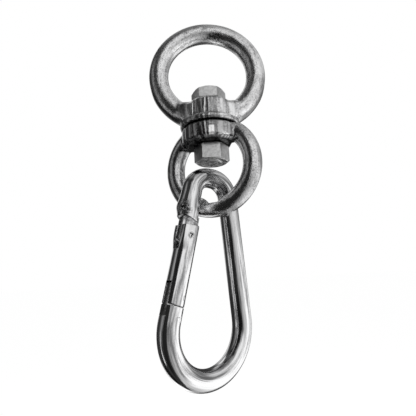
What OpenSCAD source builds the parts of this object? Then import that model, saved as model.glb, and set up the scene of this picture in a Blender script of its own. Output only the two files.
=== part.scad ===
// Swivel snap hook: two cast eyes turn on a bolt, and a spring snap hook hangs in the lower eye.
// Millimetres, +Z up, origin at the centre of the upper ring, whose axis lies along Y.

/* [Upper eye] */
// Mean radius of the upper ring
upper_ring_r = 20; // [19:0.25:21]
// Thickness of the upper ring's bar
upper_bar_d = 8.5; // [7.5:0.25:9]
// Drop from the centre of the upper ring to the swivel joint
upper_drop = 24; // [23:0.25:25]
// Radius of the flange at the foot of the upper boss
flange_r = 12; // [11.5:0.25:13]
// Thickness of that flange
flange_h = 2.4; // [1.5:0.1:3]
// Height of the upper boss, from the swivel joint to the seat of the bolt head
upper_boss_h = 11; // [10:0.25:12]
// Radius by which the neck of the upper boss stands outside the seat
neck_step = 1.9; // [1.6:0.1:2.2]
// Angle from the foot of a ring at which its bar starts to flare into the boss
flare_angle = 37; // [32:1:42]

/* [Lower eye] */
// Mean radius of the lower ring
lower_ring_r = 16.4; // [16:0.2:17]
// Thickness of the lower ring's bar
lower_bar_d = 7.2; // [6.8:0.1:7.3]
// Drop from the swivel joint to the centre of the lower ring
lower_drop = 15.3; // [14.8:0.1:16]
// Radius of the lower boss
lower_boss_r = 11.4; // [11:0.2:12]
// Height of the lower boss, from the swivel joint to the seat of the nut
lower_boss_h = 7; // [6.5:0.25:7.5]
// Height over which the lower boss tapers towards the nut
lower_taper_h = 1.2; // [0.8:0.1:1.6]
// Width of the lower boss's end face outside the seat
lower_step = 1.8; // [1.5:0.1:2.2]
// Turn of the lower eye against the upper one, as it hangs
lower_eye_turn = -26; // [-60:1:60]
// Rounding of the rims of both bosses
rim_round = 1; // [0.6:0.1:1.4]

/* [Bolt and nut] */
// Diameter of the bolt
bolt_d = 8; // [7:0.5:9]
// Width across the flats of the bolt head and the nut
hex_af = 12; // [11.8:0.1:12.5]
// Height of the bolt head
head_h = 5.3; // [4.8:0.1:5.8]
// Height of the nut
nut_h = 6.5; // [6:0.1:7]
// Length of bolt that stands out of the nut and is peened over
bolt_stand_out = 0.35; // [0.2:0.05:0.8]
// Turn of the hexagons against the upper eye
hex_turn = -3; // [-30:1:30]
// Width of the seat outside the corners of a hexagon
seat_margin = 0.4; // [0.3:0.1:0.6]
// Width by which the tip is peened out into the nut's countersink
peen = 0.6; // [0.4:0.1:0.8]

/* [Snap hook] */
// Diameter of the hook's wire
wire_d = 7.6; // [7.3:0.1:7.7]
// Mean radius of the narrow bend
narrow_r = 8.2; // [8.1:0.1:8.5]
// Mean radius of the wide bend
wide_r = 17; // [16:0.25:18]
// Distance between the centres of the two bends
bend_gap = 47.3; // [46.5:0.1:49]
// Place of the narrow bend's centre against the centre of the lower ring's foot
hook_shift = [-0.9, 0.5, 3.5];
// Turn of the hook about the upright, as it hangs
hook_turn = 39.3; // [39:0.1:46]
// Tip of the hook out of its own plane
hook_tip = 2; // [1.5:0.1:2.5]
// Swing of the hook in its own plane
hook_lean = 4.5; // [4:0.1:5]

/* [Gate] */
// Distance of the rivet from the start of the gate's leg
rivet_drop = 17.3; // [16.5:0.1:18]
// Distance of the rivet from the leg's centre line, towards the outside
rivet_out = 0.5; // [0:0.1:0.8]
// Diameter of the rivet
rivet_d = 3; // [2.6:0.1:3.2]
// Thickness of the hinge tongue and of the nose
tongue_t = 2.9; // [2.6:0.1:3.2]
// Width of the hinge tongue
tongue_w = 7.1; // [6.8:0.1:7.2]
// Distance from the start of the leg to the shoulder where the wire is pressed flat
shoulder_drop = 11.6; // [11:0.1:11.7]
// Distance from the start of the leg to the end of the gate's ears
ear_drop = 13.5; // [13.3:0.1:14]
// Distance from the start of the leg to the joint at the nose
nose_drop = 41.6; // [40:0.1:43]
// Depth of the hinge slot below the rivet
slot_depth = 5.2; // [5:0.1:5.6]
// Diameter of the cross pin that the nose catches
catch_pin_d = 2; // [1.6:0.1:2.2]
// Height of the cross pin above the joint
catch_pin_rise = 3; // [2.8:0.1:3.4]
// Height of the nose above the joint
nose_h = 7.2; // [6.8:0.1:7.6]
// Diameter of the plunger in the gate
plunger_d = 2.8; // [2.4:0.1:2.8]
// Length of the plunger
plunger_len = 5; // [4:0.25:6]
// Diameter of the spring's wire
spring_wire_d = 0.45; // [0.35:0.05:0.5]
// Length of the spring behind the plunger, with the gate shut
spring_len = 6; // [5:0.25:7]
// Number of turns of the spring
spring_turns = 5; // [3:1:7]

/* [Fits] */
// Gap between the two eyes
swivel_gap = 0.3; // [0.2:0.05:0.4]
// Play under the bolt head and above the nut
end_play = 0.15; // [0.1:0.05:0.25]
// Radial clearance of a pin or bolt that turns in its bore
running_fit = 0.08; // [0.05:0.01:0.1]
// Radial clearance of a pin that is pressed or screwed in
tight_fit = 0.01; // [0.01:0.01:0.02]
// Gap on each side of a tongue in its slot
slot_gap = 0.13; // [0.1:0.01:0.2]
// Gap between parts of the gate that swing past the body
swing_gap = 0.25; // [0.2:0.05:0.3]
// Play between the cross pin and the barb above it
catch_play = 0.6; // [0.5:0.05:0.7]

/* [Hidden] */
$fn = 96;
hull_sides = 28;
far = 60;
skin = 0.01;
hex_corner_r = hex_af / 2 / cos(30);
seat_r = hex_corner_r + seat_margin;
neck_r = seat_r + neck_step;
bore_d = bolt_d + 2 * running_fit;
wire_r = wire_d / 2;

// Outline of the hook: two arcs joined by straight legs that touch both
leg_tilt = asin((wide_r - narrow_r) / bend_gap);
leg_len = bend_gap * cos(leg_tilt);
leg_sink = 0.3;
leg_d = wire_d - 0.06;
foot_of_lower_ring = -upper_drop - lower_drop - lower_ring_r;

// Sizes of the gate, measured from the rivet along its leg
gate_down = nose_drop - rivet_drop - swing_gap;
ear_up = rivet_drop - ear_drop;
ear_r = 5.2;
cheek_down = 5.2;
slot_w = tongue_t + 2 * slot_gap;
tongue_set = 0.2;
tongue_end = 3.6;
heel_r = 0.9;
plunger_in = 1.1;
plunger_top = tongue_end + slot_gap;
spring_top = plunger_top + plunger_len;

// Sizes of the swelling above the hinge
swell_r = 4.4;
swell_out = 1;
swell_side = 0.4;
swell_drop = 6.8;

// Sizes of the catch, across the gate's leg
joint_slope = 2;
neck_in = 0.4;
neck_w = 2.3;
barb_len = 2.8;
nose_groove = 0.45;
groove_len = 3.5;
pin_out = neck_in - catch_pin_d / 2 - slot_gap;

// A bar bent into a whole ring that stands in the XZ plane
module ring(r, bar) {
    rotate([90, 0, 0])
        rotate_extrude()
            translate([r, 0])
                circle(d = bar);
}

// Half the outline of a round boss with rounded rims, standing on y = 0
module boss_outline(r, h, round) {
    square([r - round, h]);
    translate([0, round])
        square([r, h - 2 * round]);
    translate([r - round, round])
        circle(r = round);
    translate([r - round, h - round])
        circle(r = round);
}

// The stretches where the bar of a ring, drop above the joint, widens into its boss
module flares(r, bar, drop, boss_r, low, high) {
    for (side = [-1, 1])
        hull() {
            translate([side * r * sin(flare_angle), 0, drop - r * cos(flare_angle)])
                sphere(d = bar, $fn = hull_sides);
            translate([0, 0, low])
                cylinder(r = boss_r, h = high - low, $fn = hull_sides);
        }
}

// A hexagonal prism whose corners are turned down at both ends
module hexagon(h, top_cut, foot_cut) {
    intersection() {
        cylinder(r = hex_corner_r, h = h, $fn = 6);
        union() {
            cylinder(r1 = hex_corner_r - foot_cut, r2 = hex_corner_r + skin, h = foot_cut * tan(30));
            translate([0, 0, foot_cut * tan(30)])
                cylinder(r = hex_corner_r + skin, h = h - (foot_cut + top_cut) * tan(30));
            translate([0, 0, h - top_cut * tan(30)])
                cylinder(r1 = hex_corner_r + skin, r2 = hex_corner_r - top_cut, h = top_cut * tan(30));
        }
    }
}

module at_swivel() {
    translate([0, 0, -upper_drop])
        children();
}

// Half the outline of the upper boss: a neck that sweeps out to a flange at the foot
module upper_boss_outline() {
    sweep_r = flange_r - rim_round - neck_r;
    boss_outline(flange_r, flange_h, rim_round);
    boss_outline(neck_r, upper_boss_h - swivel_gap / 2, neck_step);
    translate([0, flange_h - skin])
        difference() {
            square([neck_r + sweep_r, sweep_r]);
            translate([neck_r + sweep_r, sweep_r + skin])
                circle(r = sweep_r);
        }
}

// Upper eye, cast in one: ring, boss with a flange at its foot, and the flares between them
module upper_eye() {
    boss_foot = swivel_gap / 2;
    color("lightslategray")
        at_swivel()
            difference() {
                union() {
                    translate([0, 0, upper_drop])
                        ring(upper_ring_r, upper_bar_d);
                    translate([0, 0, boss_foot])
                        rotate_extrude()
                            upper_boss_outline();
                    flares(upper_ring_r, upper_bar_d, upper_drop, neck_r - 0.3, boss_foot + 1,
                           upper_boss_h - 3);
                }
                translate([0, 0, boss_foot - far])
                    cylinder(r = far, h = far);
                translate([0, 0, upper_boss_h])
                    cylinder(r = seat_r, h = upper_drop / 2);
                cylinder(d = bore_d, h = far, center = true);
            }
}

// Half the outline of the lower boss: rounded at the joint and tapered towards the nut
module lower_boss_outline() {
    taper_foot = lower_boss_h - swivel_gap / 2 - lower_taper_h;
    boss_outline(lower_boss_r, taper_foot - 0.5, rim_round);
    translate([0, rim_round])
        square([lower_boss_r, taper_foot - rim_round]);
    polygon([
        [0, taper_foot - skin],
        [lower_boss_r, taper_foot - skin],
        [lower_boss_r, taper_foot],
        [seat_r + lower_step, taper_foot + lower_taper_h],
        [0, taper_foot + lower_taper_h]
    ]);
}

// Lower eye, cast in one and hung upside down under the upper one
module lower_eye() {
    boss_foot = swivel_gap / 2;
    color("slategray")
        at_swivel()
            rotate([0, 0, lower_eye_turn])
                mirror([0, 0, 1])
                    difference() {
                        union() {
                            translate([0, 0, lower_drop])
                                ring(lower_ring_r, lower_bar_d);
                            translate([0, 0, boss_foot])
                                rotate_extrude()
                                    lower_boss_outline();
                            flares(lower_ring_r, lower_bar_d, lower_drop, lower_boss_r - rim_round,
                                   boss_foot + 0.5, lower_boss_h - lower_taper_h - 0.5);
                        }
                        translate([0, 0, boss_foot - far])
                            cylinder(r = far, h = far);
                        translate([0, 0, lower_boss_h])
                            cylinder(r = seat_r, h = lower_drop / 2);
                        cylinder(d = bore_d, h = far, center = true);
                    }
}

// Bolt: hexagonal head, plain shank, and a tip that is peened into the nut's countersink
module swivel_bolt() {
    seat = upper_boss_h + end_play;
    nut_foot = -lower_boss_h - end_play - nut_h;
    color("silver")
        at_swivel()
            rotate([0, 0, hex_turn]) {
                translate([0, 0, seat])
                    hexagon(head_h, hex_corner_r - 0.95 * hex_af / 2, 0.2);
                translate([0, 0, nut_foot])
                    cylinder(d = bolt_d, h = seat - nut_foot + skin);
                translate([0, 0, nut_foot - bolt_stand_out])
                    cylinder(d1 = bolt_d - 2 * bolt_stand_out, d2 = bolt_d, h = bolt_stand_out);
                translate([0, 0, nut_foot])
                    cylinder(r1 = bolt_d / 2 + peen, r2 = bolt_d / 2, h = peen);
            }
}

// Nut: hexagonal, turned down at both ends, countersunk at its foot for the peened bolt
module swivel_nut() {
    nut_bore_r = bolt_d / 2 + tight_fit;
    color("gainsboro")
        at_swivel()
            translate([0, 0, -lower_boss_h - end_play - nut_h])
                rotate([0, 0, hex_turn])
                    difference() {
                        hexagon(nut_h, 0.6, hex_corner_r - 0.97 * hex_af / 2);
                        translate([0, 0, -1])
                            cylinder(r = nut_bore_r, h = nut_h + 2);
                        translate([0, 0, -skin])
                            cylinder(r1 = nut_bore_r + peen + skin, r2 = nut_bore_r, h = peen + skin);
                    }
}

// Puts the hook's own frame, x across, z up, origin at the narrow bend's centre, where it hangs
module hung() {
    translate([hook_shift[0], hook_shift[1], foot_of_lower_ring + hook_shift[2]])
        rotate([0, 0, hook_turn])
            rotate([hook_tip, 0, 0])
                rotate([0, hook_lean, 0])
                    children();
}

// The gate's leg: x outwards, z up along the leg, origin where the narrow bend ends
module on_gate_leg() {
    translate([-narrow_r * cos(leg_tilt), 0, narrow_r * sin(leg_tilt)])
        rotate([0, leg_tilt, 0])
            rotate([0, 0, 180])
                children();
}

module at_rivet() {
    on_gate_leg()
        translate([rivet_out, 0, -rivet_drop])
            children();
}

// An arc of the hook's wire, from one angle round to another, drop below the origin
module bend(r, from, to, drop = 0) {
    translate([0, 0, -drop])
        rotate([90, 0, 0])
            rotate([0, 0, from])
                rotate_extrude(angle = to - from)
                    translate([r, 0])
                        circle(d = wire_d);
}

// The outline of the hinge tongue, across the leg and along it, with a heel on the inside
module tongue_outline() {
    inner = tongue_w / 2 - tongue_set + rivet_out;
    outer = tongue_w / 2 + tongue_set - rivet_out;
    heel_in = inner - 0.9;
    translate([-inner, 0])
        square([inner + outer, rivet_drop - shoulder_drop + 2]);
    intersection() {
        circle(r = tongue_end);
        translate([0, -tongue_end])
            square([outer, tongue_end]);
    }
    polygon([
        [0, skin],
        [-inner, skin],
        [-inner, 0],
        [-heel_in, heel_r - tongue_end],
        [-heel_in + heel_r, -tongue_end],
        [0, -tongue_end]
    ]);
    translate([-heel_in + heel_r, heel_r - tongue_end])
        circle(r = heel_r);
}

// The nose: a neck on the outside with a barb over the cross pin
module nose_outline() {
    barb_foot = catch_pin_rise + catch_pin_d / 2 + catch_play;
    translate([neck_in, -2])
        square([neck_w, nose_h + 2]);
    translate([neck_in - barb_len, barb_foot])
        square([barb_len + neck_w, nose_h - barb_foot]);
}

// A wide block that takes away what stands above the joint at the nose, which slopes a little
module above_joint() {
    translate([0, 0, -nose_drop])
        rotate([0, -joint_slope, 0])
            translate([-far / 2, -far / 2, 0])
                cube([far, far, far]);
}

// Body of the hook, one bent wire with a pressed tongue at the hinge and a nose at the catch
module hook_body() {
    color("silver")
        hung()
            difference() {
                union() {
                    bend(narrow_r, leg_tilt, 180 - leg_tilt);
                    bend(wide_r, 180 - leg_tilt, 360 + leg_tilt, bend_gap);
                    mirror([1, 0, 0])
                        on_gate_leg()
                            translate([0, 0, -leg_len - leg_sink])
                                cylinder(d = leg_d, h = leg_len + 2 * leg_sink);
                    on_gate_leg() {
                        hinge_root();
                        difference() {
                            translate([0, 0, -leg_len - leg_sink])
                                cylinder(d = leg_d, h = leg_len - nose_drop + 2);
                            above_joint();
                        }
                        translate([0, 0, -nose_drop])
                            rotate([90, 0, 0])
                                linear_extrude(tongue_t, center = true)
                                    nose_outline();
                    }
                    at_rivet()
                        rotate([90, 0, 0])
                            linear_extrude(tongue_t, center = true)
                                tongue_outline();
                }
                at_rivet()
                    rotate([90, 0, 0])
                        cylinder(d = rivet_d + 2 * running_fit, h = far, center = true);
                on_gate_leg()
                    translate([wire_r - nose_groove, -slot_w / 2, -nose_drop - groove_len])
                        cube([wire_r, slot_w, groove_len + skin]);
            }
}

// The leg above the hinge, swollen outwards where the press squeezed it for the tongue
module hinge_root() {
    difference() {
        union() {
            translate([0, 0, -shoulder_drop - 1])
                cylinder(d = leg_d, h = shoulder_drop + 1 + leg_sink);
            translate([swell_out, -swell_side, -swell_drop])
                sphere(r = swell_r);
        }
        translate([0, 0, -shoulder_drop])
            rotate([0, -8.5, 0])
                translate([-far / 2, -far / 2, -far])
                    cube([far, far, far]);
    }
}

// Gate: a round rod with two ears at the hinge and a slot for the nose at the catch
module gate() {
    color("lightgray")
        hung()
            at_rivet()
                difference() {
                    union() {
                        translate([-rivet_out, 0, -gate_down - 2])
                            cylinder(d = wire_d, h = gate_down + 2 + ear_up + 1);
                        gate_cheeks();
                    }
                    translate([-rivet_out, 0, rivet_drop])
                        gate_end();
                    ear_tops();
                    rotate([90, 0, 0])
                        linear_extrude(slot_w, center = true)
                            hinge_slot_outline();
                    rotate([90, 0, 0])
                        cylinder(d = rivet_d + 2 * tight_fit, h = far, center = true);
                    translate([-plunger_in, 0, -spring_top - spring_len])
                        cylinder(d = plunger_d + 2 * running_fit, h = spring_top + spring_len);
                    translate([-rivet_out, 0, rivet_drop - nose_drop]) {
                        rotate([90, 0, 0])
                            linear_extrude(slot_w, center = true)
                                nose_slot_outline();
                        translate([pin_out, 0, catch_pin_rise])
                            rotate([90, 0, 0])
                                cylinder(d = catch_pin_d + 2 * tight_fit, h = far, center = true);
                    }
                }
}

// What is cut off below the gate, a swing gap above the joint
module gate_end() {
    translate([0, 0, -nose_drop + swing_gap])
        rotate([0, -joint_slope, 0])
            translate([-far / 2, -far / 2, -far])
                cube([far, far, far]);
}

// What is cut off above the ears: they slope outwards and keep within a circle round the rivet
module ear_tops() {
    translate([-rivet_out, 0, ear_up])
        rotate([0, 11, 0])
            translate([-far / 2, -far / 2, 0])
                cube([far, far, far]);
    difference() {
        translate([-far / 2, -far / 2, 0])
            cube([far, far, far]);
        rotate([90, 0, 0])
            cylinder(r = ear_r, h = 2 * far, center = true);
    }
}

// The outer half of the ears is pressed square and tapers down to the round rod
module gate_cheeks() {
    corner = 1;
    square_out = wire_r + 0.15;
    translate([-rivet_out, 0, 0])
        hull() {
            translate([0, 0, ear_up])
                linear_extrude(1)
                    for (side = [-1, 1])
                        translate([square_out - corner, side * (wire_r - corner)])
                            circle(r = corner, $fn = hull_sides);
            for (z = [-cheek_down, ear_up])
                translate([0, 0, z])
                    cylinder(r = wire_r - 0.1, h = 1, $fn = 2 * hull_sides);
        }
}

// The hinge slot: open at the top, with a floor that slopes down to the outside
module hinge_slot_outline() {
    polygon([
        [-wire_d, ear_up + 3],
        [-wire_d, -slot_depth],
        [wire_r - rivet_out - 1.5, -slot_depth],
        [wire_d, -slot_depth - 1.2],
        [wire_d, ear_up + 3]
    ]);
}

// The slot for the nose: open to the outside and below, closed on the inside
module nose_slot_outline() {
    translate([neck_in - barb_len - 0.5, -1])
        square([far, nose_h + 2 * swing_gap + 1]);
}

// Rivet through ears and tongue, its ends ground flush with the ears
module gate_rivet() {
    color("darkgray")
        hung()
            at_rivet()
                rotate([90, 0, 0])
                    cylinder(d = rivet_d, h = wire_d - 0.1, center = true);
}

// Cross pin in the gate, caught by the nose when the hook is loaded
module catch_pin() {
    color("darkgray")
        hung()
            at_rivet()
                translate([pin_out - rivet_out, 0, rivet_drop - nose_drop + catch_pin_rise])
                    rotate([90, 0, 0])
                        cylinder(d = catch_pin_d, h = wire_d - 0.3, center = true);
}

// Plunger that the spring drives against the heel of the tongue
module gate_plunger() {
    color("dimgray")
        hung()
            at_rivet()
                translate([-plunger_in, 0, -plunger_top - plunger_len])
                    cylinder(d = plunger_d, h = plunger_len);
}

// Compression spring behind the plunger, as a square-section helix of few sides
module gate_spring() {
    coil_r = plunger_d / 2 - spring_wire_d / 2 - 0.1;
    steps = 12;
    count = steps * spring_turns;
    lift = (spring_len - spring_wire_d - 0.2) / count;
    color("dimgray")
        hung()
            at_rivet()
                translate([-plunger_in, 0, -spring_top - spring_len + spring_wire_d / 2 + 0.1])
                    for (i = [0 : count - 1])
                        hull()
                            for (k = [i, i + 1])
                                rotate([0, 0, k * 360 / steps])
                                    translate([coil_r, 0, k * lift])
                                        sphere(d = spring_wire_d, $fn = 6);
}

upper_eye();
swivel_bolt();
swivel_nut();
lower_eye();
hook_body();
gate();
gate_rivet();
catch_pin();
gate_plunger();
gate_spring();
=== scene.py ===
# %% [markdown]
# # A swivel snap hook
#
# Two cast steel eyes turn on a bolt, and an oval spring hook hangs in the lower one. The hard
# shapes come packed from the CAD, and this script dresses them: it gives the castings their
# soft edges, draws the hook's wire again with its forging marks, and makes the metals.
#
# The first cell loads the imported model. Everything is in metres, in the CAD's own frame.

# %% Load the frame
import math

import bmesh
import bpy
from mathutils import Matrix, Vector, noise


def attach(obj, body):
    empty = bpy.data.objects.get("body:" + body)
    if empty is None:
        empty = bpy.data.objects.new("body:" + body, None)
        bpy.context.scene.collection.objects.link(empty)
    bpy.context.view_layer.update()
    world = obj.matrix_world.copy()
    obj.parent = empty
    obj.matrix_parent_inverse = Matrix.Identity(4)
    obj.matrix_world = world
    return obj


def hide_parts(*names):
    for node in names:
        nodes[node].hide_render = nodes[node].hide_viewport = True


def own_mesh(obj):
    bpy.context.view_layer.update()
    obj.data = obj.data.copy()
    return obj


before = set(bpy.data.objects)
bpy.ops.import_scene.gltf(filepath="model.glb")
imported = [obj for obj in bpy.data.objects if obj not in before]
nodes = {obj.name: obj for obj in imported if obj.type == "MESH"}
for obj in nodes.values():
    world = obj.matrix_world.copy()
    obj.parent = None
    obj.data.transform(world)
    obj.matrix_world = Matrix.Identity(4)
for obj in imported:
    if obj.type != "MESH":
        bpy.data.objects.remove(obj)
scene = bpy.context.scene
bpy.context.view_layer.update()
MM = 0.001

# %% [markdown]
# A material in Blender is a small network of nodes. Wiring each node by hand makes long code,
# so one class wraps an output socket and lets sums be written as sums. Numbers go through Math
# nodes. Colours and vectors have methods of their own, because a Math node would turn them
# into a single grey value.

# %% Sums on sockets
class Wire:
    """One output socket of a material, with arithmetic on it."""

    def __init__(self, steel, socket):
        self.steel, self.socket = steel, socket

    def math(self, operation, *values):
        return self.steel.add("ShaderNodeMath", {"operation": operation},
                              dict(enumerate((self, *values))))

    def __add__(self, other):
        return self.math("ADD", other)

    def __radd__(self, other):
        return self.math("ADD", other)

    def __sub__(self, other):
        return self.math("SUBTRACT", other)

    def __rsub__(self, other):
        return self.steel.add("ShaderNodeMath", {"operation": "SUBTRACT"}, {0: other, 1: self})

    def __mul__(self, other):
        return self.math("MULTIPLY", other)

    def __rmul__(self, other):
        return self.math("MULTIPLY", other)

    def __truediv__(self, other):
        return self.math("DIVIDE", other)

    def __rtruediv__(self, other):
        return self.steel.add("ShaderNodeMath", {"operation": "DIVIDE"}, {0: other, 1: self})

    def clamp(self):
        return self.steel.add("ShaderNodeClamp", {}, {"Value": self})

    def bell(self, middle, width):
        """1 where the value is at the middle, falling to 0 some widths away."""
        away = (self - middle) / width
        return (0 - away * away).math("EXPONENT")

    def step(self, low, high):
        """0 below low, 1 above high, smooth between."""
        return self.steel.add("ShaderNodeMapRange", {"interpolation_type": "SMOOTHSTEP"},
                              {"Value": self, "From Min": low, "From Max": high})

    def along(self, direction):
        """How far a position lies along a direction."""
        return self.steel.add("ShaderNodeVectorMath", {"operation": "DOT_PRODUCT"},
                              {0: self, 1: direction}, "Value")

    def length(self):
        """How long a vector is."""
        return self.steel.add("ShaderNodeVectorMath", {"operation": "LENGTH"}, {0: self}, "Value")

    def moved(self, by):
        """A position, shifted."""
        return self.steel.add("ShaderNodeVectorMath", {"operation": "ADD"}, {0: self, 1: by})

    def stretched(self, by):
        """A position with each axis multiplied, so that a texture on it is drawn out."""
        return self.steel.add("ShaderNodeVectorMath", {"operation": "MULTIPLY"}, {0: self, 1: by})


class Steel:
    """A material built round one Principled shader."""

    def __init__(self, name, **settings):
        self.material = bpy.data.materials.new(name)
        self.material.use_nodes = True
        self.tree = self.material.node_tree
        self.shader = self.tree.nodes["Principled BSDF"]
        for socket, value in settings.items():
            self.shader.inputs[socket.replace("_", " ")].default_value = value

    def add(self, kind, settings, inputs, output=0):
        """Adds one node: first its settings, then the values or links of its sockets."""
        node = self.tree.nodes.new(kind)
        for key, value in settings.items():
            setattr(node, key, value)
        for key, value in inputs.items():
            if isinstance(value, Wire):
                self.tree.links.new(value.socket, node.inputs[key])
            else:
                node.inputs[key].default_value = value
        return Wire(self, node.outputs[output])

    def place(self):
        """Where a point of the surface is on the object, in millimetres."""
        spot = self.add("ShaderNodeTexCoord", {}, {}, "Object")
        return spot.stretched((1000, 1000, 1000))

    def speckle(self, where, size, detail=3.0, roughness=0.5, distortion=0.0):
        """Noise from 0 to 1 whose blotches are about size millimetres across."""
        return self.add("ShaderNodeTexNoise", {}, {"Vector": where, "Scale": 1 / size, "Detail": detail,
                                                   "Roughness": roughness, "Distortion": distortion})

    def point(self, x, y, z):
        """Three numbers as one position."""
        return self.add("ShaderNodeCombineXYZ", {}, {0: x, 1: y, 2: z})

    def mixed(self, share, first, second):
        """A colour between two, by a share from 0 to 1."""
        node = self.tree.nodes.new("ShaderNodeMix")
        node.data_type = "RGBA"
        for key, value in (("Factor_Float", share), ("A_Color", first), ("B_Color", second)):
            socket = next(s for s in node.inputs if s.identifier == key)
            if isinstance(value, Wire):
                self.tree.links.new(value.socket, socket)
            else:
                socket.default_value = (*value, 1)
        return Wire(self, next(s for s in node.outputs if s.identifier == "Result_Color"))

    def feed(self, **sockets):
        """Links what varies over the surface to the shader."""
        for socket, value in sockets.items():
            self.tree.links.new(value.socket, self.shader.inputs[socket.replace("_", " ")])

    def relief(self, height, depth):
        """Raises and sinks the surface by a height from 0 to 1, depth millimetres deep."""
        bump = self.add("ShaderNodeBump", {},
                        {"Height": height, "Strength": 1.0, "Distance": depth * MM})
        self.feed(Normal=bump)


def dress(thing, steel):
    """Puts a material on every slot of an object."""
    if not thing.material_slots:
        thing.data.materials.append(steel.material)
    for slot in thing.material_slots:
        slot.material = steel.material


print("Socket arithmetic ready")

# %% [markdown]
# The two eyes, the bolt's head and the nut meet at a few heights, and each ring has a radius
# and a bar. Materials and pieces need the same values, so they are named once, as in the CAD.

# %% Sizes of the eyes
# heights in millimetres: seat of the bolt's head, face where the eyes meet, seat of the nut
HEAD_SEAT, MEETING, NUT_SEAT = -13.0, -24.0, -31.0
UPPER_RING, UPPER_BAR = 20.0, 8.5
LOWER_RING, LOWER_BAR, LOWER_DROP = 16.4, 7.2, 15.3
LOWER_TURN = -26
print("Lower ring's centre, mm:", round(MEETING - LOWER_DROP, 1), "turned", LOWER_TURN, "degrees")

# %% [markdown]
# The eyes are steel castings that were tumbled bright. Their skin keeps a fine grain from the
# mould and a few shallow pits. The grain is darker in the hollows, where the tumbling stones
# did not reach. A thin ridge runs round the middle of each ring, where the two halves of the
# mould met. The ridge is far narrower than the mesh is fine, so it is drawn as relief.
#
# What was worn bright and what stayed dark is a share from 0 to 1, added up from noises of
# several sizes. The share picks the colour, and it polishes the surface a little.

# %% Cast steel
# how wide and how dark the painted shadow is in the gaps between head, eyes and nut
GAP_SHADOW_WIDTH = 0.42
GAP_SHADOW = (0.012, 0.012, 0.012)


def painted_gap_shadows(height, first, second):
    """Painted shadow in the gaps where head, eyes and nut meet, at two heights."""
    return (height.bell(first, GAP_SHADOW_WIDTH) + height.bell(second, GAP_SHADOW_WIDTH)).clamp()


def cast_steel(name, centre, ring_turn, ring, boss, tint, shine, stain, painted_boss_light=False):
    """Steel cast as a ring round a centre, turned about the upright, with a boss.

    The ring is its radius and its bar, the boss its two heights, and the stain its place, how
    each axis is shortened, and how much of the noise it leaves out.
    """
    steel = Steel(name, Metallic=1.0)
    where = steel.place()
    a = math.radians(ring_turn)
    from_centre = where.moved(tuple(-c for c in centre))
    offset = from_centre.along((-math.sin(a), math.cos(a), 0))
    across = from_centre.along((math.cos(a), math.sin(a), 0))
    upright = from_centre.along((0, 0, 1))
    radius = (across * across + upright * upright).math("SQRT")
    round_ring = across.math("ARCTAN2", upright)
    grain = steel.speckle(where, 0.75, 5, 0.7)
    specks = steel.speckle(where.moved((0.3, 0.7, 0.2)), 0.45, 2, 0.6).step(0.40, 0.60)
    pits = steel.speckle(where, 1.9, 3, 0.6)
    patches = steel.speckle(where, 7.5, 2, 0.5)
    # streaks that run round the ring, and upright ones on the boss
    lines = steel.speckle(steel.point(radius, offset, round_ring * 3.0), 0.8, 2, 0.55)
    axle = where.stretched((1, 1, 0)).length()
    round_axle = where.along((1, 0, 0)).math("ARCTAN2", where.along((0, -1, 0)))
    height = where.along((0, 0, 1))
    low, high = boss
    on_boss = ((1 - axle.step(10.8, 13.5)) * height.step(low - 0.5, low + 0.3)
               * (1 - height.step(high - 1.5, high + 0.5)))
    strokes = steel.speckle(steel.point(round_axle * 10.0 + 4.7, height * 0.10, 5.3), 2.3, 1, 0.5)
    strokes = strokes.step(0.40, 0.60)
    fine_strokes = steel.speckle(steel.point(round_axle * 10.0 + 2.3, height * 0.16, 8.6), 1.1, 2, 0.5)
    drawn = lines + on_boss * (strokes * 0.7 + fine_strokes * 0.3 - lines)
    wander = (steel.speckle(where, 6.0, 1) - 0.5) * 0.9
    ridge = (offset + wander).bell(1.4, 0.30)
    # painted dark reflection on the outermost rim of the ring
    ring_radius, bar = ring
    rim = radius.step(ring_radius + bar * 0.35, ring_radius + bar * 0.44) * (1 - on_boss)
    worn = (grain * 0.40 + specks * patches * 0.26 + pits * 0.15 + drawn * 0.42 + patches * 0.25
            - ridge * 0.10).step(0.43, 0.78)
    colour = steel.mixed(worn, tuple(t * 0.28 for t in tint), tint)
    # the painted dark reflection on the rim, weaker on the lower eye
    colour = steel.mixed(rim * (0.22 if painted_boss_light else 0.75), colour, (0.08, 0.08, 0.08))
    if painted_boss_light:
        # painted light on this boss: painted shade darkens it, and painted highlights lie on a spot in
        # front and a smear beside it
        beside = (round_axle + 0.02).math("ABSOLUTE")
        spot = ((1 - beside.step(0.085, 0.125)) * height.step(-30.4, -30.0)
                * (1 - height.step(-27.0, -26.6)))
        painted_highlight_smear = (round_axle.bell(0.48, 0.25) * height.bell(-29.8, 1.0)
                 * steel.speckle(where, 1.8, 2).step(0.36, 0.50))
        colour = steel.mixed(on_boss * 0.48, colour, (0.09, 0.09, 0.09))
        colour = steel.mixed((spot + painted_highlight_smear * 0.8).clamp(), colour, (0.98, 0.98, 0.98))
    # a stained patch, deeply pitted
    stain_place, stretch, threshold = stain
    from_stain = where.moved(tuple(-c for c in stain_place)).stretched(stretch).length()
    near = 1 - from_stain.step(1.0, 2.2)
    stained = near * steel.speckle(where, 0.9, 3, 0.7).step(threshold, threshold + 0.08)
    colour = steel.mixed(stained * 0.85, colour, (0.02, 0.02, 0.02))
    # painted shadow in the gaps where the eyes meet and above the nut
    gap_shadow = painted_gap_shadows(height, MEETING, NUT_SEAT) * (1 - axle.step(12.6, 13.4))
    colour = steel.mixed(gap_shadow, colour, GAP_SHADOW)
    steel.feed(Base_Color=colour, Roughness=shine - worn * 0.08)
    steel.relief(grain * 0.20 + pits * 0.35 + patches * 0.6 + ridge * 0.8 + lines * 0.25
                 + on_boss * (strokes * 0.9 + fine_strokes * 0.3), 0.26)
    return steel


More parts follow.
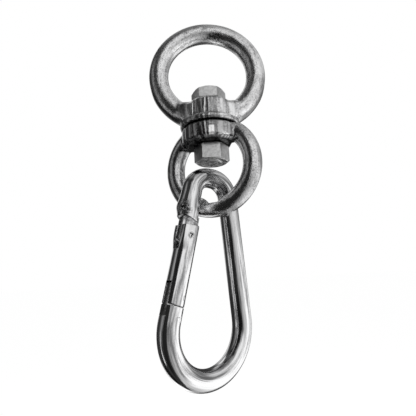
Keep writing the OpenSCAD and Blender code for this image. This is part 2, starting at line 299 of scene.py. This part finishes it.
upper_cast = cast_steel(
    "cast_steel_upper", centre=(0, 0, 0), ring_turn=0, ring=(UPPER_RING, UPPER_BAR),
    boss=(MEETING, HEAD_SEAT), tint=(0.90, 0.90, 0.905), shine=0.33,
    stain=((3.5, -2.2, 16.4), (0.42, 0.7, 1.1), 0.46))
lower_cast = cast_steel(
    "cast_steel_lower", centre=(0, 0, MEETING - LOWER_DROP), ring_turn=LOWER_TURN,
    ring=(LOWER_RING, LOWER_BAR), boss=(NUT_SEAT - 0.2, MEETING), tint=(0.82, 0.82, 0.825), shine=0.25,
    stain=((-10.9, 3.6, -39.1), (0.8, 0.8, 0.36), 0.50), painted_boss_light=True)
print("Cast steel made, with the mould's ridge in each ring's own plane")

# %% [markdown]
# The hook and its gate are drawn steel wire, bent, pressed and polished under a thin bright
# plating. Polishing leaves faint streaks that run along the wire. The wire bends, so the
# streaks can't follow the object's own axes. The mesh below stores for every point how far
# along and how far round the wire it lies, and the streaks are drawn in those two numbers. A
# second stored number says where the press left the wire rough and dark.

# %% Polished wire
def polished_wire(name):
    steel = Steel(name, Metallic=1.0)
    where = steel.place()
    lay = steel.add("ShaderNodeAttribute", {"attribute_name": "lay"}, {}, "Vector")
    streaks = steel.speckle(lay.stretched((1, 0.04, 1)), 0.32, 3, 0.6)
    bands = steel.speckle(lay.stretched((1, 0.06, 1)), 1.5, 2, 0.5)
    waves = steel.speckle(where, 5.0, 1, 0.4)
    scuffs = steel.speckle(where, 0.5, 4, 0.7)
    rough_part = steel.add("ShaderNodeAttribute", {"attribute_name": "rough"}, {}, "Fac")
    tone = (streaks * 0.35 + bands * 0.55 + scuffs * 0.10).step(0.40, 0.54)
    clean = steel.mixed(tone, (0.30, 0.30, 0.305), (0.90, 0.90, 0.905))
    at_rivet = 1 - where.moved((9.3, 10.1, 66.6)).length().step(0.5, 1.7)
    blows = at_rivet * steel.speckle(where.moved((3, 1, 2)), 1.1, 3, 0.6, 0.8).step(0.46, 0.53)
    dents = steel.speckle(where, 1.1, 3, 0.6).step(0.40, 0.56)
    # a painted dark reflection: a dark streak along the outer side of the long leg
    round_wire = lay.along((0, 0, 1)).math("ARCTAN2", lay.along((1, 0, 0)))
    run = lay.along((0, 1, 0))
    long_leg = run.step(36, 42) * (1 - run.step(98, 112))
    painted_dark_streak = round_wire.bell(math.radians(46), math.radians(10)) * long_leg
    clean = steel.mixed(painted_dark_streak * 0.75, clean, (0.07, 0.07, 0.07))
    bruised = (rough_part * 1.3 * dents + blows).clamp()
    steel.feed(
        Base_Color=steel.mixed(bruised, clean, (0.03, 0.03, 0.03)),
        Roughness=0.08 + streaks * 0.07 + bruised * 0.3)
    steel.relief(streaks * 0.12 + bands * 0.95 + waves * 0.20 - bruised * 1.6, 0.12)
    return steel


hook_steel = polished_wire("polished_wire")
print("Polished wire made")

# %% [markdown]
# The bolt and the nut are bought parts, cold formed and zinc plated. Their flats are satin and
# even, with only a faint mottle. The tip of the bolt is hammered over the nut, which leaves it
# uneven and creased, so below the nut the relief grows. The pins and the spring take the same
# material in a darker grey.

# %% Plated hexagons, pins and spring
def zinc_plate(name, tint, peened_below=None, blow_size=2.0):
    steel = Steel(name, Metallic=1.0)
    where = steel.place()
    mottle = steel.speckle(where, 1.2, 4, 0.6)
    fine = steel.speckle(where, 0.25, 2, 0.5)
    plain = mottle.step(0.3, 0.7)
    height = mottle * 0.25 + fine * 0.12
    if peened_below is not None:
        peened = 1 - where.along((0, 0, 1)).step(peened_below - 0.15, peened_below + 0.15)
        blows = steel.speckle(where, blow_size, 2, 0.5, 0.6)
        creases = blows.bell(0.5, 0.05) * peened
        height = height + peened * blows * 7 - creases * 2
        plain = (plain - creases * 1.5).clamp()
    colour = steel.mixed(plain, tuple(t * 0.72 for t in tint), tint)
    # painted shadow in the gaps under the bolt's head and above the nut
    gap_shadow = painted_gap_shadows(where.along((0, 0, 1)), HEAD_SEAT + 0.5, NUT_SEAT)
    steel.feed(Base_Color=steel.mixed(gap_shadow, colour, GAP_SHADOW), Roughness=0.26 + fine * 0.10)
    steel.relief(height, 0.10)
    return steel


bolt_zinc = zinc_plate("zinc_bolt", (0.92, 0.92, 0.92), peened_below=-37.3)
nut_zinc = zinc_plate("zinc_nut", (0.88, 0.88, 0.88), peened_below=-37.45, blow_size=3.4)
pin_steel = zinc_plate("ground_pin", (0.66, 0.66, 0.66))
spring_steel = zinc_plate("spring_wire", (0.42, 0.42, 0.43))
print("Plated hexagons, pins and spring made")

# %% [markdown]
# In the CAD, the rings meet their bosses in sharp creases and the flares have flat facets. A
# casting has neither: sand and wax round every inside corner. A voxel remesh gives one even
# skin over the whole eye, and smoothing then softens the creases by about half a millimetre.
# A small function of place then moves the points where the casting was dressed by hand.
# The CAD eye itself stays hidden underneath, for the motion model.

# %% Castings with soft corners
def clamped(value):
    return min(1.0, max(0.0, value))


def smooth(share):
    """Eases a share from 0 to 1 in and out."""
    return share * share * (3 - 2 * share)


def trimmed_foot(spot):
    """Lifts the back of the lower boss, where the casting was dressed away behind the nut."""
    a = math.radians(LOWER_TURN)
    deep = -math.sin(a) * spot.x + math.cos(a) * spot.y
    along = abs(math.cos(a) * spot.x + math.sin(a) * spot.y)
    if deep > 0.5 and -33 < spot.z < -26:
        share = clamped((10.5 - along) / 1.5) * clamped(math.hypot(spot.x, spot.y) - 7.4)
        lowest = NUT_SEAT + 0.5 * (deep - 0.5)
        spot.z += share * max(0.0, lowest - spot.z)
    return spot


def slimmer_ring(spot):
    """Thins the upper ring's bar away from the boss, as it was ground, and lowers its top a little."""
    share = smooth(clamped((spot.z + 12.0) / 8.0))
    core = Vector((spot.x, 0, spot.z)).normalized() * UPPER_RING
    slim = core + (spot - core) * (1 - 0.08 * share)
    slim.z -= 0.42 * max(0.0, slim.z / UPPER_RING)
    return slim


VOXEL, SMOOTHINGS = 0.34, 10


def soft_casting(node, body, steel, reshape):
    """A softened copy of a CAD eye, reshaped point by point, that rides on the eye's body."""
    made = bpy.data.objects.new(node + "_cast", nodes[node].data.copy())
    scene.collection.objects.link(made)
    remesh = made.modifiers.new("skin", "REMESH")
    remesh.mode = "VOXEL"
    remesh.voxel_size = VOXEL * MM
    remesh.use_smooth_shade = True
    soften = made.modifiers.new("soften", "SMOOTH")
    soften.factor = 0.5
    soften.iterations = SMOOTHINGS
    evaluated = made.evaluated_get(bpy.context.evaluated_depsgraph_get())
    settled = bpy.data.meshes.new_from_object(evaluated)
    made.modifiers.clear()
    made.data = settled
    for vert in settled.vertices:
        vert.co = reshape(vert.co / MM) * MM
    made.data.materials.clear()
    dress(made, steel)
    settled.shade_smooth()
    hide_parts(node)
    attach(made, body)
    print(made.name, len(settled.polygons), "faces")


soft_casting("upper_eye", "upper_eye", upper_cast, slimmer_ring)
soft_casting("lower_eye", "lower_eye", lower_cast, trimmed_foot)

# %% [markdown]
# The hook is one long wire, so its mesh is a loft: rings of points set along the wire's centre
# line and joined ring to ring. Every point is pushed in or out from a true circle by what the
# press did there. The sizes repeat those of the CAD, in millimetres.
#
# The centre line is two arcs joined by straight legs that touch both.

# %% The hook's frame and centre line
WIRE_R = 3.8
NARROW_R, WIDE_R, BEND_GAP = 8.2, 17.0, 47.3
TILT = math.asin((WIDE_R - NARROW_R) / BEND_GAP)
LEG = BEND_GAP * math.cos(TILT)
# the loop's centre above the bottom of the lower ring's centre line
HOOK_SEAT = 3.5
HOOK = (Matrix.Translation((-0.9, 0.5, MEETING - LOWER_DROP - LOWER_RING + HOOK_SEAT))
        @ Matrix.Rotation(math.radians(39.3), 4, "Z")
        @ Matrix.Rotation(math.radians(2.0), 4, "X")
        @ Matrix.Rotation(math.radians(4.5), 4, "Y"))
GATE_LEG = (HOOK @ Matrix.Translation((-NARROW_R * math.cos(TILT), 0, NARROW_R * math.sin(TILT)))
            @ Matrix.Rotation(TILT, 4, "Y") @ Matrix.Rotation(math.pi, 4, "Z"))
# drops along the gate's leg: the wire's shoulder, the top of the gate's ears, the rivet, the joint
SHOULDER, EARS, RIVET_DROP, JOINT = 11.6, 13.5, 17.3, 41.6
RIVET_OUT = 0.5


def gate_leg_point(drop):
    """Centre of the wire on the gate's leg, drop below where the narrow bend ends."""
    return Vector((-NARROW_R * math.cos(TILT) - drop * math.sin(TILT), 0,
                   NARROW_R * math.sin(TILT) - drop * math.cos(TILT)))


def centre_line():
    """(place, outward direction, drop along the gate's leg or None) from hinge round to nose."""
    out_left = Vector((-math.cos(TILT), 0, math.sin(TILT)))
    out_right = Vector((math.cos(TILT), 0, math.sin(TILT)))
    line = []
    drop = SHOULDER
    while drop > 0.01:
        line.append((gate_leg_point(drop), out_left, drop))
        drop -= 0.06 if drop > SHOULDER - 0.4 else 0.2
    steps = 60
    for i in range(steps + 1):
        angle = math.pi - TILT - (math.pi - 2 * TILT) * i / steps
        out = Vector((math.cos(angle), 0, math.sin(angle)))
        line.append((out * NARROW_R, out, None))
    start = out_right * NARROW_R
    down = Vector((math.sin(TILT), 0, -math.cos(TILT)))
    for i in range(1, 100):
        line.append((start + down * LEG * i / 100, out_right, None))
    steps = 120
    for i in range(steps + 1):
        angle = TILT - (math.pi + 2 * TILT) * i / steps
        out = Vector((math.cos(angle), 0, math.sin(angle)))
        line.append((Vector((0, 0, -BEND_GAP)) + out * WIDE_R, out, None))
    drop = LEG - 0.2
    while drop > JOINT + 0.02:
        line.append((gate_leg_point(drop), out_left, drop))
        drop -= 0.05 if drop < JOINT + 0.3 else 0.16
    line.append((gate_leg_point(JOINT), out_left, JOINT))
    return line


hook_length = BEND_GAP + NARROW_R + WIDE_R + 2 * WIRE_R
print("Wire", round(2 * WIRE_R, 2), "mm thick, hook", round(hook_length, 1), "mm long")

# %% [markdown]
# At the hinge the press squeezed the round wire into a flat tongue. The metal that it moved
# swelled out just above, on the outer side, and the tool left rough dents in the swelling.
# Below the nose, the cutter that made the gate's slot ran on a little into the body.

# %% What the press and the cutter did
def bell(value, middle, width):
    return math.exp(-((value - middle) / width) ** 2)


def dent(out, side, drop, seed, size):
    spot = Vector((out, side, drop)) / size + Vector((seed, 0, 0))
    return noise.fractal(spot, 0.6, 2.2, 3)


# corners of a small scratched triangle below the joint, outwards and down the leg
SCRATCH = [(0.3, 3.3), (-1.7, 3.0), (-1.7, 4.7)]


def scratch(out, down):
    """1 on the lines of the scratched triangle, falling to 0 beside them."""
    spot, nearest = Vector((out, down)), 9.0
    for one, two in zip(SCRATCH, SCRATCH[1:] + SCRATCH[:1]):
        start, run = Vector(one), Vector(two) - Vector(one)
        share = clamped((spot - start).dot(run) / run.length_squared)
        nearest = min(nearest, (spot - start - run * share).length)
    return max(0.0, 1 - nearest / 0.22)


def wire_radius(round_angle, drop):
    """Radius of the wire in a direction, and roughness. 0 is outwards, 90 degrees the front."""
    radius, rough = WIRE_R, 0.0
    if drop is None:
        return radius, rough
    out, side = math.cos(round_angle), math.sin(round_angle)
    if drop < SHOULDER + 2:
        below = bell(drop, 7.6, 2.4) if drop > 7.6 else bell(drop, 7.6, 3.0)
        radius += 0.8 * below * (0.5 + 0.5 * math.cos(round_angle + 0.15)) ** 1.3
        rough = bell(drop, 8.6, 2.0) * bell(round_angle, 0.45, 0.50)
        radius -= rough * (0.30 + 0.65 * max(0.0, dent(out * radius, side * radius, drop, 3.1, 1.5)))
        edge = max(0.0, drop - SHOULDER + 0.35) / 0.35
        radius -= 0.25 * edge ** 2
    if drop > JOINT - 1:
        edge = max(0.0, JOINT + 0.2 - drop) / 0.2
        radius -= 0.12 * edge ** 2
        across = abs(side * radius)
        if out > 0 and across < 1.58 and drop < JOINT + 3.5:
            radius = min(radius, (WIRE_R - 0.45) / max(out, 0.3))
        if side > 0 and drop < JOINT + 6:
            radius -= 0.14 * scratch(out * WIRE_R, drop - JOINT)
    return radius, rough


def outward(run):
    """How far the wire stands outside its arc on the gate's side, at a run from the loop's top."""
    return smooth(clamped(run / 11.0)) * (1.75 - 0.75 * clamped((run - 15.0) / 10.0))


def tilted(drop, out):
    """Leans the wire's last rings into the sloping planes of the shoulder and of the joint."""
    if drop < SHOULDER + 0.1:
        return drop - 0.15 * out * max(0.0, 1 - (SHOULDER - drop) / 4)
    return drop - 0.035 * out * max(0.0, 1 - (drop - JOINT) / 3)


def loft_wire(name):
    around = 96
    bm = bmesh.new()
    lay = bm.verts.layers.float_vector.new("lay")
    rough_layer = bm.verts.layers.float.new("rough")
    front = Vector((0, -1, 0))
    rings, length, last = [], 0.0, None
    arc_run = NARROW_R * (math.pi / 2 - TILT)
    for place, outward_line, drop in centre_line():
        shift = 0.0
        if drop is not None and drop < SHOULDER + 1:
            shift = outward(arc_run + drop)
        elif drop is None and place.z > 0 and place.x < 0:
            shift = outward(NARROW_R * math.atan2(-place.x, place.z))
        length += (place - last).length if last else 0.0
        last = place
        ring = []
        for k in range(around):
            angle = 2 * math.pi * k / around
            signed = (angle + math.pi) % (2 * math.pi) - math.pi
            radius, rough = wire_radius(signed, drop)
            out, side = math.cos(angle) * radius, math.sin(angle) * radius
            centre = place
            if drop is not None:
                centre = gate_leg_point(tilted(drop, out))
            centre = centre + outward_line * shift
            vert = bm.verts.new((HOOK @ (centre + outward_line * out + front * side)) * MM)
            vert[lay] = (math.cos(angle) * WIRE_R, length, math.sin(angle) * WIRE_R)
            vert[rough_layer] = rough
            ring.append(vert)
        rings.append(ring)
    for one, two in zip(rings, rings[1:]):
        for k in range(around):
            bm.faces.new((one[k], one[(k + 1) % around], two[(k + 1) % around], two[k]))
    bm.faces.new(rings[0][::-1])
    bm.faces.new(rings[-1])
    bmesh.ops.remove_doubles(bm, verts=bm.verts, dist=1e-6)
    bmesh.ops.dissolve_degenerate(bm, edges=bm.edges, dist=1e-6)
    bmesh.ops.recalc_face_normals(bm, faces=bm.faces)
    mesh = bpy.data.meshes.new(name)
    bm.to_mesh(mesh)
    bm.free()
    return mesh


wire_mesh = loft_wire("hook_wire")
print("Wire lofted,", len(wire_mesh.polygons), "faces")

# %% [markdown]
# The tongue at the hinge and the nose at the catch are flat plates. Each is drawn as an outline
# across and along the gate's leg, given its thickness, and its edges are broken a little, as a
# barrel of tumbling stones would. They are joined to the wire as one object.

# %% Tongue and nose
TONGUE_T = 2.9


def arc(cx, cz, radius, start, end, steps=14):
    """Points on an arc, angles in degrees."""
    span = [math.radians(start + (end - start) * i / steps) for i in range(steps + 1)]
    return [(cx + radius * math.cos(a), cz + radius * math.sin(a)) for a in span]


def plate(outline, thick, to_world, broken=0.18, name="plate"):
    """A flat plate from an outline across and along the leg, with broken edges."""
    bm = bmesh.new()
    front = [bm.verts.new((x, -thick / 2, z)) for x, z in outline]
    face = bm.faces.new(front)
    made = bmesh.ops.extrude_face_region(bm, geom=[face])
    verts = [v for v in made["geom"] if isinstance(v, bmesh.types.BMVert)]
    bmesh.ops.translate(bm, verts=verts, vec=(0, thick, 0))
    bmesh.ops.recalc_face_normals(bm, faces=bm.faces)
    rim = [e for e in bm.edges if abs(e.verts[0].co.y - e.verts[1].co.y) < 1e-6]
    bmesh.ops.bevel(bm, geom=rim, offset=broken, segments=2, affect="EDGES", profile=0.5)
    lay = bm.verts.layers.float_vector.new("lay")
    rough = bm.verts.layers.float.new("rough")
    for v in bm.verts:
        v[lay] = (v.co.x, v.co.z, v.co.y)
        v[rough] = 0.12
        v.co = (to_world @ v.co) * MM
    mesh = bpy.data.meshes.new(name)
    bm.to_mesh(mesh)
    bm.free()
    return mesh


AT_RIVET = GATE_LEG @ Matrix.Translation((RIVET_OUT, 0, -RIVET_DROP))
AT_JOINT = GATE_LEG @ Matrix.Translation((0, 0, -JOINT))
tongue = plate([(-3.55, 7.7), (-3.55, 0.0)] + arc(-2.05, -2.7, 0.9, 180, 270, 8)
               + arc(0, 0, 3.6, 270, 338) + [(3.25, 0.0), (3.25, 7.7)],
               TONGUE_T, AT_RIVET, name="tongue")
nose = plate([(0.4, -2.0), (0.4, 4.6), (-2.4, 4.6), (-2.4, 6.8), (-1.9, 7.35), (2.9, 7.35),
              (3.35, 7.1), (3.35, -2.0)], TONGUE_T, AT_JOINT, name="nose")


def put(name, mesh):
    """A mesh as an object in the scene."""
    made = bpy.data.objects.new(name, mesh)
    scene.collection.objects.link(made)
    return made


def join(name, meshes):
    """Several meshes as one object."""
    parts = [put(name, mesh) for mesh in meshes]
    with bpy.context.temp_override(active_object=parts[0], selected_editable_objects=parts,
                                   selected_objects=parts, object=parts[0]):
        bpy.ops.object.join()
    parts[0].name = name
    return parts[0]


def soft_shade(thing, degrees):
    """Smooth shading, but edges sharper than an angle stay crisp."""
    mesh = thing.data
    mesh.shade_smooth()
    bm = bmesh.new()
    bm.from_mesh(mesh)
    limit = math.radians(degrees)
    for edge in bm.edges:
        if len(edge.link_faces) == 2 and edge.calc_face_angle(0.0) > limit:
            edge.smooth = False
    bm.to_mesh(mesh)
    bm.free()


# in degrees
CRISP = 38
hook = join("hook_body_wire", [wire_mesh, tongue, nose])
dress(hook, hook_steel)
soft_shade(hook, CRISP)
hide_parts("hook_body")
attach(hook, "hook")
print("Hook body joined,", len(hook.data.polygons), "faces")

# %% [markdown]
# The gate is the same wire again, straight. Its two ears are pressed square on the outer side,
# and that squareness fades into the round rod a little below the rivet. It is lofted like the
# body. The slots for tongue and nose are then cut out with a Boolean, which leaves crisp edges
# as the milling cutter did.

# %% Gate
SLOT_W = 3.16
GATE_END = JOINT - 0.25
EAR_R = 5.2


def squared_radius(angle, drop):
    """Radius of the gate's rod, squared on the outside near the ears."""
    fade = smooth(1 - clamped((drop - RIVET_DROP + 1.5) / 8.0))
    out, side = math.cos(angle), math.sin(angle)
    if out <= 0 or fade <= 0:
        return WIRE_R
    power = 2 + 3.2 * fade * min(1.0, out * 1.4)
    square = (abs(out / (1 + 0.035 * fade)) ** power + abs(side) ** power) ** (-1 / power)
    return WIRE_R * square


def ear_top(out):
    """How high the ears reach, as a drop along the leg: sloped, and inside a circle at the rivet."""
    slope = EARS + 0.194 * out
    across = out - RIVET_OUT
    arch = RIVET_DROP - math.sqrt(max(0.0, EAR_R ** 2 - across ** 2))
    return max(slope, arch)


def loft_gate(name):
    around, broken = 96, 0.22
    bm = bmesh.new()
    lay = bm.verts.layers.float_vector.new("lay")
    rough_layer = bm.verts.layers.float.new("rough")
    curve = [(1 - math.sin(a), 1 - math.cos(a)) for a in (0, 0.35, 0.75, 1.15, math.pi / 2)]
    stations = [("top", 1.0, 0.0)] + [("top", broken * i, broken * d) for i, d in curve]
    stations += [("between", 0.0, i / 110) for i in range(1, 110)]
    stations += [("foot", broken * i, broken * d) for i, d in curve[::-1]]
    rings = []
    for kind, inset, along in stations:
        ring = []
        for k in range(around):
            angle = 2 * math.pi * k / around
            rough_out = math.cos(angle) * WIRE_R
            top, foot = ear_top(rough_out), GATE_END - 0.035 * rough_out
            level = {"top": top + along, "foot": foot - along,
                     "between": top + broken + (foot - top - 2 * broken) * along}[kind]
            radius = squared_radius(angle, level) - inset
            out, side = radius * math.cos(angle), radius * math.sin(angle)
            if kind == "top" and inset == 1.0:
                level = ear_top(out)
            vert = bm.verts.new((GATE_LEG @ Vector((out, side, -level))) * MM)
            vert[lay] = (math.cos(angle) * WIRE_R, level + 100, math.sin(angle) * WIRE_R)
            ring.append(vert)
        rings.append(ring)
    for one, two in zip(rings, rings[1:]):
        for k in range(around):
            bm.faces.new((one[k], one[(k + 1) % around], two[(k + 1) % around], two[k]))
    bm.faces.new(rings[0][::-1])
    bm.faces.new(rings[-1])
    bmesh.ops.recalc_face_normals(bm, faces=bm.faces)
    mesh = bpy.data.meshes.new(name)
    bm.to_mesh(mesh)
    bm.free()
    return mesh


gate = put("gate_rod", loft_gate("gate_rod"))


def cutter(outline, place):
    return put("cutter", plate(outline, SLOT_W, place, broken=0.001))


hinge_slot = cutter([(-8, 9), (-8, -5.2), (1.8, -5.2), (3.3, -5.5), (8, -6.4), (8, 9)], AT_RIVET)
nose_slot = cutter([(-2.9, -1), (-2.9, 7.7), (8, 7.7), (8, -1)], AT_JOINT)
for tool in (hinge_slot, nose_slot):
    slot = gate.modifiers.new("slot", "BOOLEAN")
    slot.operation = "DIFFERENCE"
    slot.solver = "EXACT"
    slot.object = tool
evaluated = gate.evaluated_get(bpy.context.evaluated_depsgraph_get())
cut_mesh = bpy.data.meshes.new_from_object(evaluated)
gate.modifiers.clear()
gate.data = cut_mesh
for tool in (hinge_slot, nose_slot):
    bpy.data.objects.remove(tool)
gate.data.materials.clear()
dress(gate, hook_steel)
soft_shade(gate, CRISP)
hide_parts("gate")
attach(gate, "gate")
print("Gate cut,", len(gate.data.polygons), "faces")

# %% [markdown]
# The bolt, the nut, the pins, the plunger and the spring are right as the CAD has them. They
# only get their materials, and the hexagons a slight bevel, because no real edge is perfectly
# sharp and it is the bevel that catches the light.

# %% Hardware
for name, steel in (("swivel_bolt", bolt_zinc), ("swivel_nut", nut_zinc),
                    ("gate_rivet", pin_steel), ("catch_pin", pin_steel),
                    ("gate_plunger", pin_steel), ("gate_spring", spring_steel)):
    dress(nodes[name], steel)
for name in ("swivel_bolt", "swivel_nut"):
    edge = nodes[name].modifiers.new("broken_edge", "BEVEL")
    edge.width = 0.22 * MM
    edge.segments = 2
    edge.limit_method = "ANGLE"
    edge.angle_limit = math.radians(24)
    edge.harden_normals = True
print("Hardware dressed")

# %% [markdown]
# The plunger slides with the gate, so the spring has to give way. The spring's own points
# say how long it is along the gate's leg.

# %% The spring's length and stroke
# the plunger's millimetres for each radian of the gate, and how far the gate opens
PLUNGER_RATE, GATE_OPEN = 1.4, math.radians(22)
STROKE = PLUNGER_RATE * GATE_OPEN
spring = nodes["gate_spring"]
spring_axis = (GATE_LEG.to_3x3() @ Vector((0, 0, 1))).normalized()
reach = [spring_axis.dot(spring.matrix_world @ vert.co) / MM for vert in spring.data.vertices]
spring_length = max(reach) - min(reach)
on_axis = GATE_LEG @ Vector((0, 0, 0))
far_end = (on_axis + spring_axis * (min(reach) - spring_axis.dot(on_axis))) * MM
1 - STROKE / spring_length
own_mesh(spring)
print("Spring", round(spring_length, 2), "mm long, stroke", round(STROKE, 2), "mm")

# %% [markdown]
# ## Floor, light and camera
#
# Polished steel shows its surroundings more than itself, so the room is designed for it. The
# floor and the background are plain white to the camera. The metal sees something else: a
# sphere round the whole scene, painted with soft patches from white to nearly black, as walls,
# windows and dark doorways would be. The wire draws each patch out into a line along its
# length, and those lines are what makes metal look like metal.

# %% Floor
# how much of what is seen of the floor is plain white, and the rest takes the shadow
WHITE_SHARE = 0.85


def room_material(name, shade, glow):
    """A surface that is lit by the lamps but looks nearly plain white to the camera."""
    made = Steel(name, Roughness=0.9, Base_Color=(shade, shade, shade, 1))
    ray = made.tree.nodes.new("ShaderNodeLightPath")
    seen = Wire(made, ray.outputs["Is Camera Ray"])
    for kind in ("Is Glossy Ray", "Is Transmission Ray"):
        seen = seen.math("MAXIMUM", Wire(made, ray.outputs[kind]))
    made.tree.nodes.remove(made.tree.nodes["Principled BSDF"])
    lit = made.add("ShaderNodeBsdfDiffuse", {}, {"Color": (shade, shade, shade, 1)})
    white = made.add("ShaderNodeEmission", {}, {"Color": (1, 1, 1, 1), "Strength": glow})
    both = made.add("ShaderNodeMixShader", {}, {0: seen * WHITE_SHARE, 1: lit, 2: white})
    made.tree.links.new(both.socket, made.tree.nodes["Material Output"].inputs["Surface"])
    return made


bpy.ops.mesh.primitive_plane_add(size=40.0, location=(0, 0, -0.30))
floor = bpy.context.object
floor.name = "floor"
dress(floor, room_material("pale_floor", 0.9, 1.1))
floor.visible_glossy = False
print("Floor ready")

# %% [markdown]
# The background is plain white for every ray that looks at it, and a dimmer white for those
# that only light the scene.

# %% World
world = scene.world or bpy.data.worlds.new("room")
scene.world = world
world.use_nodes = True
world_nodes, world_links = world.node_tree.nodes, world.node_tree.links
background = world_nodes["Background"]
seen_by = world_nodes.new("ShaderNodeLightPath")
white_share = seen_by.outputs["Is Camera Ray"]
for kind in ("Is Transmission Ray", "Is Glossy Ray"):
    larger = world_nodes.new("ShaderNodeMath")
    larger.operation = "MAXIMUM"
    world_links.new(white_share, larger.inputs[0])
    world_links.new(seen_by.outputs[kind], larger.inputs[1])
    white_share = larger.outputs[0]
strength = world_nodes.new("ShaderNodeMapRange")
strength.inputs["To Min"].default_value = 0.45
strength.inputs["To Max"].default_value = 1.0
world_links.new(white_share, strength.inputs["Value"])
world_links.new(strength.outputs[0], background.inputs["Strength"])
background.inputs["Color"].default_value = (1, 1, 1, 1)
print("World ready")

# %% [markdown]
# Each patch is given by where it lies and how wide and tall it is, in degrees round the camera's
# side. Later patches lie over earlier ones. The right half is light, as with a window there. A
# nearly black strip to the left of the camera gives the strong dark line on every round piece.

# %% Painted shell
MIDDLE = Vector((0, 0, -0.05))


def room_shell(patches, base):
    """A sphere that only the metal sees, painted with soft patches of grey."""
    paint = Steel("room_shell", Base_Color=(0, 0, 0, 1), Roughness=1.0, Specular_IOR_Level=0.0,
                  Emission_Strength=1.0)
    where = paint.add("ShaderNodeTexCoord", {}, {}, "Object")
    height = where.along((0, 0, 1)).math("ARCSINE") * (180 / math.pi)
    grey = None
    for side, up, wide, tall, soft, shade in patches:
        a = math.radians(side)
        front = where.along((math.sin(a), -math.cos(a), 0))
        across = where.along((math.cos(a), math.sin(a), 0))
        off_side = across.math("ARCTAN2", front).math("ABSOLUTE") * (180 / math.pi)
        off_up = (height - up).math("ABSOLUTE")
        share = ((1 - off_side.step(wide / 2 - soft, wide / 2 + soft))
                 * (1 - off_up.step(tall / 2 - soft, tall / 2 + soft)))
        grey = share * (shade - base) + base if grey is None else grey + share * (shade - grey)
    paint.feed(Emission_Color=grey)
    bpy.ops.mesh.primitive_uv_sphere_add(segments=48, ring_count=24, radius=1.0, location=MIDDLE)
    shell = bpy.context.object
    shell.name = "room_shell"
    shell.data.shade_smooth()
    dress(shell, paint)
    shell.visible_camera = shell.visible_shadow = shell.visible_diffuse = False
    shell.visible_transmission = False


# side and height in degrees from the camera's side, width, height, softness, grey
room_shell([
    (92, 0, 176, 200, 6, 0.60),
    (12, -30, 26, 76, 7, 0.33),
    (45, -30, 46, 70, 12, 0.54),
    (28, 24, 72, 44, 7, 0.86),
    (100, -30, 88, 64, 10, 1.12),
    (120, 16, 66, 26, 8, 0.36),
    (80, 50, 60, 26, 9, 0.70),
    (160, 48, 30, 36, 7, 0.80),
    (-156, 50, 34, 34, 7, 0.80),
    (-32, -20, 46, 92, 7, 0.018),
    (-74, 15, 27, 70, 6, 0.20),
    (-64, 20, 10, 40, 5, 0.34),
    (-120, -55, 66, 40, 8, 0.010),
    (-78, -26, 8, 44, 3, 0.85),
    (-156, 15, 36, 36, 8, 0.65),
    (-160, -45, 36, 36, 8, 1.30),
    (-60, 80, 140, 30, 9, 0.18),
    (90, 80, 150, 30, 9, 0.26),
    (166, -4, 44, 100, 8, 0.06),
], base=0.035)
print("Painted shell ready")

# %% [markdown]
# Two soft lamps light the floor. The metal doesn't see them, or they would show in it as white
# squares.

# %% Lamps
def lamp(name, side, height, power=1.0, size=0.30, away=0.45):
    """A square lamp at a side and height in degrees, turned to the middle of the object."""
    a, e = math.radians(side), math.radians(height)
    place = MIDDLE + away * Vector((math.sin(a) * math.cos(e), -math.cos(a) * math.cos(e), math.sin(e)))
    light = bpy.data.lights.new(name, "AREA")
    light.energy = power
    light.size = size
    made = bpy.data.objects.new(name, light)
    made.visible_glossy = False
    scene.collection.objects.link(made)
    made.location = place
    made.rotation_euler = (MIDDLE - place).to_track_quat("-Z", "Y").to_euler()


lamp("soft_right", 70, 20)
lamp("soft_above", -20, 65)
print("Two lamps")

# %% [markdown]
# The camera stands where the photographer stood: a little below the swivel, close to the object,
# and tilted by a few degrees. Its place was worked out from the outlines of the rings and the
# hook, as a distance in millimetres from the swivel and turns in degrees.

# %% Camera
def turn(axis, degrees):
    return Matrix.Rotation(math.radians(degrees), 3, axis)


DISTANCE, RISE, ROLL = 141.41, -23.93, 3.48
AIM_UP, AIM_SIDE, RING_TURN = 12.66, -0.38, 2.53
FOCAL_PIXELS, PICTURE = 344.91, 416
rise, roll = math.radians(RISE), math.radians(ROLL)
back = Vector((0, -math.cos(rise), math.sin(rise)))
right = Vector((1, 0, 0))
up = back.cross(right)
right_rolled = right * math.cos(roll) - up * math.sin(roll)
up_rolled = up * math.cos(roll) + right * math.sin(roll)
axes = turn("X", AIM_UP) @ turn("Y", AIM_SIDE) @ Matrix((right_rolled, up_rolled, back))
to_part = turn("Z", -RING_TURN)
place = to_part @ (back * DISTANCE) + Vector((0, 0, MEETING))
pose = (to_part @ axes.transposed()).to_4x4()
pose.translation = place * MM
lens = bpy.data.cameras.new("camera")
lens.sensor_width = 36
lens.lens = FOCAL_PIXELS * lens.sensor_width / PICTURE
camera = bpy.data.objects.new("camera", lens)
scene.collection.objects.link(camera)
camera.matrix_world = pose
lens.clip_start, lens.clip_end = 0.005, 20
scene.camera = camera
scene.view_settings.view_transform = "Standard"
print("Camera at, mm:", [round(v, 1) for v in place])
